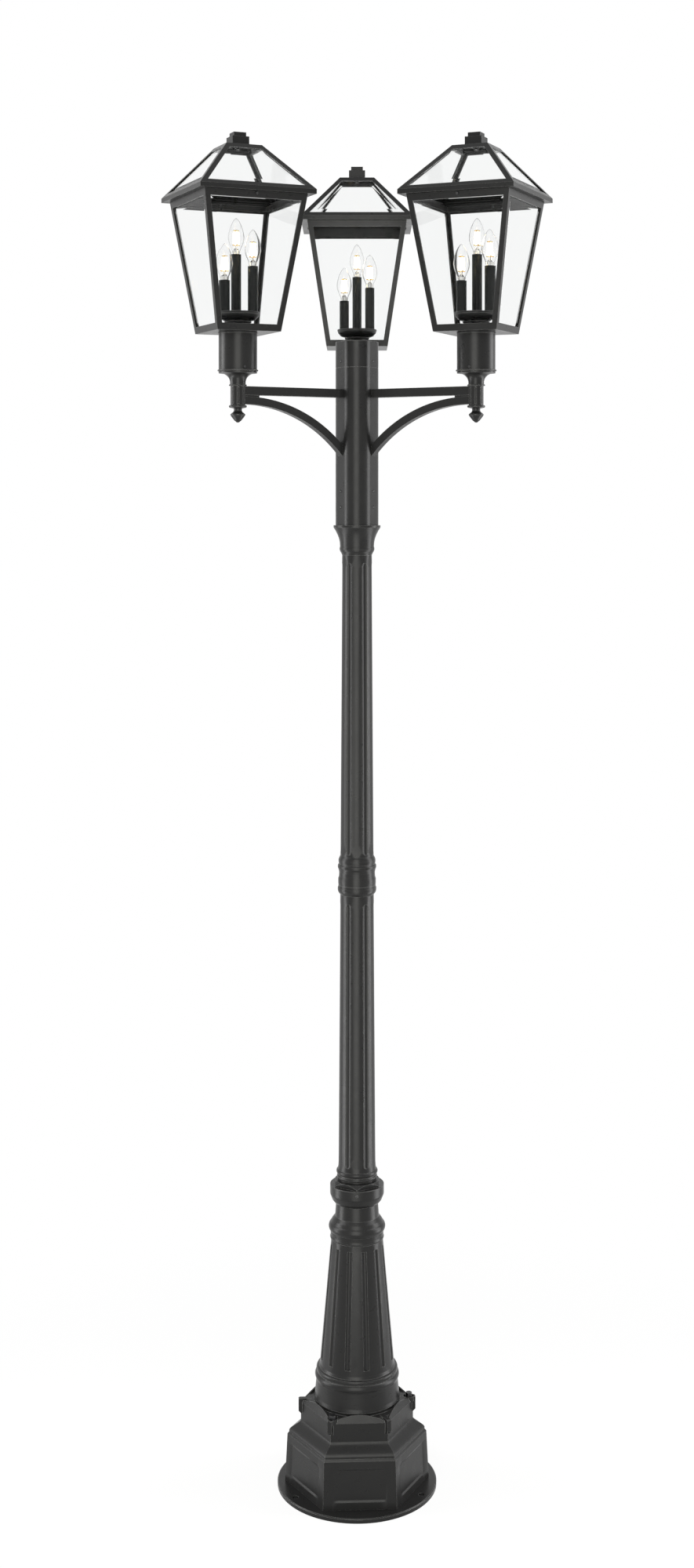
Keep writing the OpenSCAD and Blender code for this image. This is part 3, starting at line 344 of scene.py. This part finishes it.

# %% [markdown]
# ## Clear glass
# The panes are solid bevelled glass, so real refraction bends what stands behind a bevel, as
# in the photograph. The light that comes back through it would be very noisy if every lamp
# ray had to be traced through the glass. The usual way round it is used: for shadow rays the
# glass is simply transparent, and for all others it refracts. Real glass mirrors 8 percent of
# what stands before it, and here that is all white: a milky veil would lie on every pane. A
# real studio is dark behind the camera, so the panes get a lower index and a darker tint for
# what they mirror, and the view still bends at a bevel. Towards its outline, where we look
# along it, glass would mirror and bend more of that darker studio; Layer Weight paints this as
# painted shade, a darker colour at the rim, strong on a bulb's thin wall and faint on a pane.

# %% Glass
STEEP_STARTS, STEEP_FULL = 0.35, 0.95       # how far a face turns from us, in Layer Weight
SHADOW_TINT = (0.96, 0.97, 0.965, 1)


def clear_glass(name, tint, index, waviness, mirror, rim):
    """Glass with a tint, a slight wave, a tint for what it mirrors, and a darker rim."""
    material, tree, shader = start_material(name)
    place = place_on_piece(tree)
    bump = add_node(tree, "ShaderNodeBump", {"Strength": waviness, "Distance": 0.0005,
                    "Height": clouds(tree, place, scale=14.0, detail=1.0)})
    clearer = [min(1, c * 1.01) for c in tint]
    smudge = clouds(tree, place, scale=30.0, detail=3.0)
    tone = between(tree, smudge, (*tint, 1), (*clearer, 1))
    # painted shade: the colour darkens towards the outline, for the darker studio glass would
    # show there
    turned_off = add_node(tree, "ShaderNodeLayerWeight", {"Blend": 0.3}).outputs["Facing"]
    steep = add_node(tree, "ShaderNodeMapRange", {"Value": turned_off,
                     "From Min": STEEP_STARTS, "From Max": STEEP_FULL},
                     interpolation_type="SMOOTHSTEP").outputs[0]
    tree.links.new(between(tree, steep, tone, (rim, rim, rim, 1)), shader.inputs["Base Color"])
    tree.links.new(bump.outputs[0], shader.inputs["Normal"])
    set_sockets(shader, {"Transmission Weight": 1.0, "Roughness": 0.0, "IOR": index,
                         "Specular Tint": (mirror, mirror, mirror, 1)})
    path = add_node(tree, "ShaderNodeLightPath")
    through = add_node(tree, "ShaderNodeBsdfTransparent", {"Color": SHADOW_TINT})
    mixed = add_node(tree, "ShaderNodeMixShader", {0: path.outputs["Is Shadow Ray"],
                     1: shader.outputs[0], 2: through.outputs[0]})
    tree.links.new(mixed.outputs[0], tree.nodes["Material Output"].inputs["Surface"])
    return material


pane_glass = clear_glass("bevelled_pane", (0.955, 0.96, 0.958), index=1.12, waviness=0.02,
                         mirror=0.4, rim=0.9)
bulb_glass = clear_glass("bulb_wall", (0.985, 0.985, 0.985), index=1.45, waviness=0.0,
                         mirror=0.35, rim=0.35)
print("glass:", pane_glass.name, bulb_glass.name)

# %% [markdown]
# ## Paint every CAD part
# The record that came with the model names a finish for each part. We could paint the parts
# one by one, but a part is easily forgotten among sixty. One table turns the record's names
# into the materials above, so none is.

# %% Assign
finishes = {"black_coat": powder_coat, "candle_black": sleeve_black,
            "holder_black": holder_plastic, "screw_steel": screw_black,
            "sleeve_steel": plain_steel, "bulb_metal": cap_nickel,
            "pane_glass": pane_glass, "bulb_glass": bulb_glass}
painted = {}
for entry in frame["record"]["subparts"]:
    part, finish = frame["nodes"][entry["node"]], entry["material_slot"]
    part.data.materials.clear()
    part.data.materials.append(finishes[finish])
    painted[finish] = painted.get(finish, 0) + 1
print(painted)

# %% [markdown]
# ## The arched pedestal
# The CAD pedestal is plain at the top. The cast one has a soft S between the box and the band,
# and each face of the band ends in an arch that leans back a little. A sculpted mesh would
# never be regular enough for a casting. The six faces are alike, so we describe one as rows of
# points from the foot up and turn it round the axis. A point is (distance from the axis,
# sideways, height), and a face's half width is its distance times the tangent of 30 degrees.
# The CAD piece stays for the physics; ours is what is seen.

# %% Pedestal: the panelled box
COS30, TAN30 = math.cos(math.pi / 6), math.tan(math.pi / 6)
BOX_R = 0.1595                                            # over a corner, at the box's top
BOX_FOOT, BOX_TOP, BAND = 0.165 * COS30, BOX_R * COS30, 0.1287 * COS30
FOOT_Z, BOX_H = 0.010, 0.1048
PANEL_Z, PANEL_HALF, FRAME_HALF, PANEL_DEEP = 0.0624, 0.032, 0.0365, 0.0016
PANEL_SHARE, FRAME_SHARE = 0.7304, 0.787                  # of the face's half width
STEPS = [-1, -FRAME_SHARE, -PANEL_SHARE, *[PANEL_SHARE * k / 6 for k in range(-5, 6)],
         PANEL_SHARE, FRAME_SHARE, 1]
BOX_LINES = [(FOOT_Z, 0.0), (PANEL_Z - FRAME_HALF, 0.0), (PANEL_Z - PANEL_HALF, PANEL_DEEP),
             (PANEL_Z + PANEL_HALF, PANEL_DEEP), (PANEL_Z + FRAME_HALF, 0.0),
             (FOOT_Z + BOX_H, 0.0)]                       # (height, how deep the panel is)


def across(away, z):
    """One row of points over a face, from corner to corner."""
    return [(away, t * away * TAN30, z) for t in STEPS]


def box_rows():
    """The tapered box with its sunk panel. The panel's sides stay upright."""
    rows = []
    for z, deep in BOX_LINES:
        away = BOX_FOOT + (BOX_TOP - BOX_FOOT) * (z - FOOT_Z) / BOX_H
        rows.append([(away - (deep if abs(t) <= PANEL_SHARE else 0.0),
                      t * (away if abs(t) == 1 else BOX_TOP) * TAN30, z) for t in STEPS])
    return rows


print("box:", len(box_rows()), "rows of", len(STEPS), "points")

# %% Pedestal: the S
LIP, LIP_Z = (BOX_R - 0.0016) * COS30, 0.117
S_FOOT, S_Z, S_H = (BOX_R - 0.004) * COS30, 0.1192, 0.0428
S_ROWS, S_PITCH = 27, 0.026               # rows, and the share of S_H from one to the next
S_STARTS, S_LENGTH = 0.08, 0.57           # shares of S_H
BAND_LINES = (0.162, 0.176, 0.187)


def s_rows():
    """From the box's lip in along half a cosine wave, then straight up the band."""
    rows = [across(LIP, LIP_Z)]
    for k in range(S_ROWS):
        part = min(1.0, max(0.0, (S_PITCH * k - S_STARTS) / S_LENGTH))
        away = S_FOOT + (BAND - S_FOOT) * (1 - math.cos(math.pi * part)) / 2
        rows.append(across(away, S_Z + S_H * (S_PITCH * k)))
    return rows + [across(BAND, z) for z in BAND_LINES]


print("S and band:", len(s_rows()), "rows")

# %% [markdown]
# ### The arch
# The arch is the line where the leaning face meets a flat cone, so its height falls from the
# middle of the face to the corners. Height and lean depend on each other. There is a formula,
# but a dozen rounds of setting one from the other are shorter and settle at the same line.

# %% Pedestal: the arches and the floor behind them
ARCH_Z, CREST_Z, LEAN = BAND_LINES[-1], 0.202, 0.008
CREST, FALL = BAND - LEAN, 0.533          # the cone's radius at the crest, and its slope
RIM, RIM_DRAFT = 0.0035, 0.0004
FLOOR_Z, FLOOR_R, FLOOR_GAP = 0.1955, 0.1135, 0.002
SEAT_R, SEAT_FOOT, SEAT_Z = 0.098, 0.0985, 0.1965      # what the fluted cone stands on
ROUNDS = 12


def lean(z):
    """How far the band's face is from the axis at a height."""
    return BAND - LEAN * max(0.0, z - ARCH_Z) / (CREST_Z - ARCH_Z)


def arch_top(t):
    """Height of the arch at a share of the face's half width."""
    z = ARCH_Z
    for _ in range(ROUNDS):
        z = CREST_Z - FALL * (math.hypot(lean(z), t * lean(z) * TAN30) - CREST)
    return z


def arch_rows():
    """Up the leaning arch, over its rim, down behind it, and in over the floor."""
    rows, tops = [], [arch_top(t) for t in STEPS]
    for share in (0.5, 1.0):
        heights = [ARCH_Z + share * (top - ARCH_Z) for top in tops]
        rows.append([(lean(z), t * lean(z) * TAN30, z) for t, z in zip(STEPS, heights)])
    inner = [(lean(z) - RIM, t * (lean(z) - RIM) * TAN30, z) for t, z in zip(STEPS, tops)]
    rows.append(inner)
    rows.append([(away - RIM_DRAFT, side, min(z, FLOOR_Z)) for away, side, z in inner])
    for r, z in ((FLOOR_R, FLOOR_Z), (SEAT_FOOT, FLOOR_Z), (SEAT_R, SEAT_Z), (SEAT_R, CREST_Z)):
        ring = []
        for away, side, _ in inner:
            far = math.hypot(away, side)
            reach = min(r, far - FLOOR_GAP) if r == FLOOR_R else r
            ring.append((reach * away / far, reach * side / far, z))
        rows.append(ring)
    return rows


print("arch: %.4f at the middle, %.4f at a corner" % (arch_top(0), arch_top(1)))

# %% [markdown]
# ### Ears, pads and the whole casting
# A narrow upright ear stands on each corner of the band, and every second one widens into a
# round pad that carries a hexagon bolt. They are cast with the pedestal, but here they only
# need to reach into it, which saves a Boolean and the ragged faces that one leaves.

# %% Pedestal: ears and pads
EAR = [(0.104, 0.196), (0.1315, 0.196), (0.134, 0.1945), (0.134, 0.1683), (0.1277, 0.162),
       (0.104, 0.162)]                    # (distance, height) round its side
EAR_HALF = 0.0055
PAD_AWAY, PAD_R, PAD_HEIGHTS, PAD_POINTS = 0.119, 0.012, (0.185, 0.196), 32


def add_ear(bm, turn):
    """Two sides of an ear and the faces round its edge."""
    sides = [[bm.verts.new(turn @ Vector((r, w, z))) for r, z in EAR]
             for w in (-EAR_HALF, EAR_HALF)]
    bm.faces.new(reversed(sides[0]))
    bm.faces.new(sides[1])
    for j in range(len(EAR)):
        i = (j + 1) % len(EAR)
        bm.faces.new((sides[0][j], sides[0][i], sides[1][i], sides[1][j]))


def add_pad(bm, turn):
    """A short round pad, open below, where it sinks into the band."""
    low, high = [[bm.verts.new(turn @ Vector((
        PAD_AWAY + PAD_R * math.cos(2 * math.pi * q / PAD_POINTS),
        PAD_R * math.sin(2 * math.pi * q / PAD_POINTS), z))) for q in range(PAD_POINTS)]
        for z in PAD_HEIGHTS]
    bm.faces.new(high)
    for q in range(PAD_POINTS):
        after = (q + 1) % PAD_POINTS
        bm.faces.new((low[q], low[after], high[after], high[q]))


print("ear:", len(EAR), "corners, pad:", PAD_POINTS, "points round")

# %% Pedestal: put together
TURN = math.radians(2.6)                  # the base is turned a little against the arms
SAME_POINT = 0.00002                      # points this close are welded into one
SHARP = math.radians(15)                  # steeper edges than this stay hard
ROUND_R, ROUND_STEPS, ROUND_FROM = 0.0011, 2, math.radians(32)


def smooth_mesh(bm, name):
    """Turn a bmesh into a mesh with smooth faces."""
    mesh = bpy.data.meshes.new(name)
    bm.to_mesh(mesh)
    bm.free()
    for face in mesh.polygons:
        face.use_smooth = True
    return mesh


bm = bmesh.new()
for k in range(6):
    turn = Matrix.Rotation(TURN + math.radians(30 + 60 * k), 4, "Z")
    net = [[bm.verts.new(turn @ Vector(p)) for p in row]
           for row in box_rows() + s_rows() + arch_rows()]
    for low, high in zip(net, net[1:]):
        for a, b, c, d in zip(low, low[1:], high[1:], high):
            bm.faces.new((a, b, c, d))
bmesh.ops.remove_doubles(bm, verts=bm.verts, dist=SAME_POINT)
bmesh.ops.holes_fill(bm, edges=[e for e in bm.edges if e.is_boundary])
for k in range(6):
    turn = Matrix.Rotation(TURN + math.radians(60 * k), 4, "Z")
    add_ear(bm, turn)
    if k % 2 == 0:
        add_pad(bm, turn)
bmesh.ops.recalc_face_normals(bm, faces=bm.faces)
pedestal_mesh = smooth_mesh(bm, "arched_pedestal")
pedestal_mesh.set_sharp_from_angle(angle=SHARP)
pedestal = add_object("arched_pedestal", pedestal_mesh, powder_coat)
round_edges = pedestal.modifiers.new("round_edges", "BEVEL")
round_edges.width, round_edges.segments = ROUND_R, ROUND_STEPS
round_edges.limit_method, round_edges.angle_limit = "ANGLE", ROUND_FROM
round_edges.harden_normals = True
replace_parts(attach(pedestal, "post"), "hex_pedestal")
print("pedestal:", len(pedestal_mesh.polygons), "faces")

# %% [markdown]
# ## Where the bulbs stand
# The filaments have to sit on the axis of each bulb. Instead of typing nine positions, we ask
# the CAD glass: its highest point lies on a bulb's axis. Take that point, set aside all glass
# near its axis, and the next highest point belongs to the next bulb.

# %% Find the bulbs
BULB_REACH = 0.021      # a bulb's glass lies within this distance from its axis


def bulb_axes(node):
    """(x, y, lowest, highest) for every bulb in a node, tallest first."""
    points = [v.co.copy() for v in frame["nodes"][node].data.vertices]
    found = []
    while points:
        top = max(points, key=lambda p: p.z)
        near = [p for p in points if (p.xy - top.xy).length < BULB_REACH]
        found.append((top.x, top.y, min(p.z for p in near), top.z))
        points = [p for p in points if (p.xy - top.xy).length >= BULB_REACH]
    return found


bulbs = {side: bulb_axes(side + "_bulb_glass") for side in ("left", "right", "rear")}
for side, found in bulbs.items():
    print(side, [tuple(round(v, 3) for v in b) for b in found])

# %% [markdown]
# ## Glowing filaments
# These are LED filament bulbs: four thin rods coated with yellow phosphor stand round a glass
# stem and lean in slightly at the top. Each rod is a capsule, turned from a short outline. The
# rods shine brightest in the middle and yellow at their ends, which a gradient along the
# height could paint, but the lit length is so even that only the ends need their own colour:
# there a small brass ferrule grips each rod.

# %% Turned shapes
ON_AXIS = 1e-6      # a smaller radius than this is one point on the axis


def turned(name, outline, steps=16):
    """A mesh turned about the local Z axis from (radius, height) points."""
    bm = bmesh.new()
    rows = []
    for r, z in outline:
        if r < ON_AXIS:
            rows.append([bm.verts.new((0, 0, z))])
        else:
            rows.append([bm.verts.new((r * math.cos(2 * math.pi * k / steps),
                                       r * math.sin(2 * math.pi * k / steps), z))
                         for k in range(steps)])
    for a, b in zip(rows, rows[1:]):
        for k in range(steps):
            ring = [a[k % len(a)], a[(k + 1) % len(a)], b[(k + 1) % len(b)], b[k % len(b)]]
            bm.faces.new(list(dict.fromkeys(ring)))
    bm.normal_update()
    return smooth_mesh(bm, name)


def joined(name, parts, material):
    """One object from (mesh, matrix) pairs."""
    bm = bmesh.new()
    for mesh, matrix in parts:
        copy = mesh.copy()
        copy.transform(matrix)
        bm.from_mesh(copy)
        bpy.data.meshes.remove(copy)
    return add_object(name, smooth_mesh(bm, name), material)


ROD_R, ROD_H, ROD_CORNERS = 0.0015, 0.033, 10
QUARTER = (0, 0.5, 1.0, 1.57)      # angles over a quarter circle
cap = [(ROD_R * math.sin(a), -ROD_R * math.cos(a)) for a in QUARTER]
rod = turned("rod", [(r, z + ROD_R) for r, z in cap]
             + [(r, ROD_H - ROD_R - z) for r, z in reversed(cap)], ROD_CORNERS)
print("rod has", len(rod.vertices), "points")

# %% Filament glow
BEADS_SCALE, GLOW = 420.0, 8.0
filament_glow, tree, shader = start_material("filament_glow")
beads = add_node(tree, "ShaderNodeTexWave", {"Vector": place_on_piece(tree),
                 "Scale": BEADS_SCALE}, wave_type="BANDS", bands_direction="Z").outputs["Fac"]
warm = between(tree, beads, (1.0, 0.78, 0.42, 1), (1.0, 0.86, 0.58, 1))
tree.links.new(warm, shader.inputs["Base Color"])
tree.links.new(warm, shader.inputs["Emission Color"])
set_sockets(shader, {"Emission Strength": GLOW, "Roughness": 0.5})
print("filaments glow at strength", GLOW)

# %% Filaments on every bulb
ROD_AWAY, ROD_LIFT = 0.0068, 0.0125                   # its foot, from the bulb's axis and foot
FIRST_ROD, ROD_LEAN = math.radians(20), math.radians(-3.5)
FERRULE_R, FERRULE_H, CHAMFER, OVERHANG = 0.0018, 0.0026, (0.0003, 0.0004), 0.0006


def rod_places(bulb):
    """Where the four rods of a bulb stand, as matrices."""
    x, y, low, _ = bulb
    for k in range(4):
        turn = Matrix.Rotation(FIRST_ROD + math.radians(90 * k), 4, "Z")
        tilt = Matrix.Rotation(ROD_LEAN, 4, "Y")
        yield (Matrix.Translation((x, y, low + ROD_LIFT)) @ turn
               @ Matrix.Translation((ROD_AWAY, 0, 0)) @ tilt)


brass = coat("brass", (0.5, 0.32, 0.09), (0.62, 0.42, 0.14), gloss=(0.25, 0.35), peel=0.1,
             edge=0.0002, same=METAL)
ferrule = turned("ferrule", [(0, 0), (FERRULE_R - CHAMFER[0], 0), (FERRULE_R, CHAMFER[1]),
                             (FERRULE_R, FERRULE_H - CHAMFER[1]),
                             (FERRULE_R - CHAMFER[0], FERRULE_H), (0, FERRULE_H)], ROD_CORNERS)
ends = [Matrix.Translation((0, 0, z)) for z in (-OVERHANG, ROD_H - FERRULE_H + OVERHANG)]
for side, found in bulbs.items():
    places = [m for b in found for m in rod_places(b)]
    rods = joined(side + "_filaments", [(rod, m) for m in places], filament_glow)
    grips = joined(side + "_ferrules", [(ferrule, m @ e) for m in places for e in ends], brass)
    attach(rods, side + "_lantern")
    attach(grips, side + "_lantern")
    print(rods.name, len(rods.data.vertices), "points")

# %% [markdown]
# ## Stems and lead wires
# The rods hang on thin brass wires from a glass stem, which flares at its foot where it was
# melted to the bulb. The flare catches the light of the rods and shows as a golden knot over
# the cap. A wire could be a curve with some thickness, but these are short and straight, so
# each is one thin turned pin that is aimed from its one end to the other.

# %% Stem and wires
STEM = [(0.0062, 0.0004), (0.0056, 0.0022), (0.0036, 0.0048), (0.0022, 0.0066),
        (0.0020, 0.0096), (0.0026, 0.0110), (0.0022, 0.0124), (0.0012, 0.0135), (0.0, 0.0137)]
WIRE_R, WIRE_CORNERS = 0.0004, 6
KNOT_LIFT, PEAK_LIFT = 0.0118, 0.0012      # where the wires meet, over bulb's foot and rods
stem = turned("stem", STEM)


def wire(start, end):
    """A straight pin between two points, as a (mesh, matrix) pair."""
    start, end = Vector(start), Vector(end)
    length = (end - start).length
    pin = turned("wire", [(0, 0), (WIRE_R, 0), (WIRE_R, length), (0, length)], WIRE_CORNERS)
    aim = (end - start).to_track_quat("Z", "Y").to_matrix().to_4x4()
    return pin, Matrix.Translation(start) @ aim


for side, found in bulbs.items():
    stems = joined(side + "_stems", [(stem, Matrix.Translation((x, y, low)))
                                     for x, y, low, _ in found], bulb_glass)
    wires = []
    for bulb in found:
        x, y, low, _ = bulb
        for m in rod_places(bulb):
            foot, head = m @ Vector((0, 0, 0)), m @ Vector((0, 0, ROD_H))
            wires.append(wire((x, y, low + KNOT_LIFT), foot))
            wires.append(wire(head, (x, y, head.z + PEAK_LIFT)))
    leads = joined(side + "_leads", wires, brass)
    for thing, name in ((stems, "bulb_glass"), (leads, "bulb_metal")):
        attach(thing, side + "_lantern")
    print(stems.name, "and", leads.name + ":", len(wires), "wires")
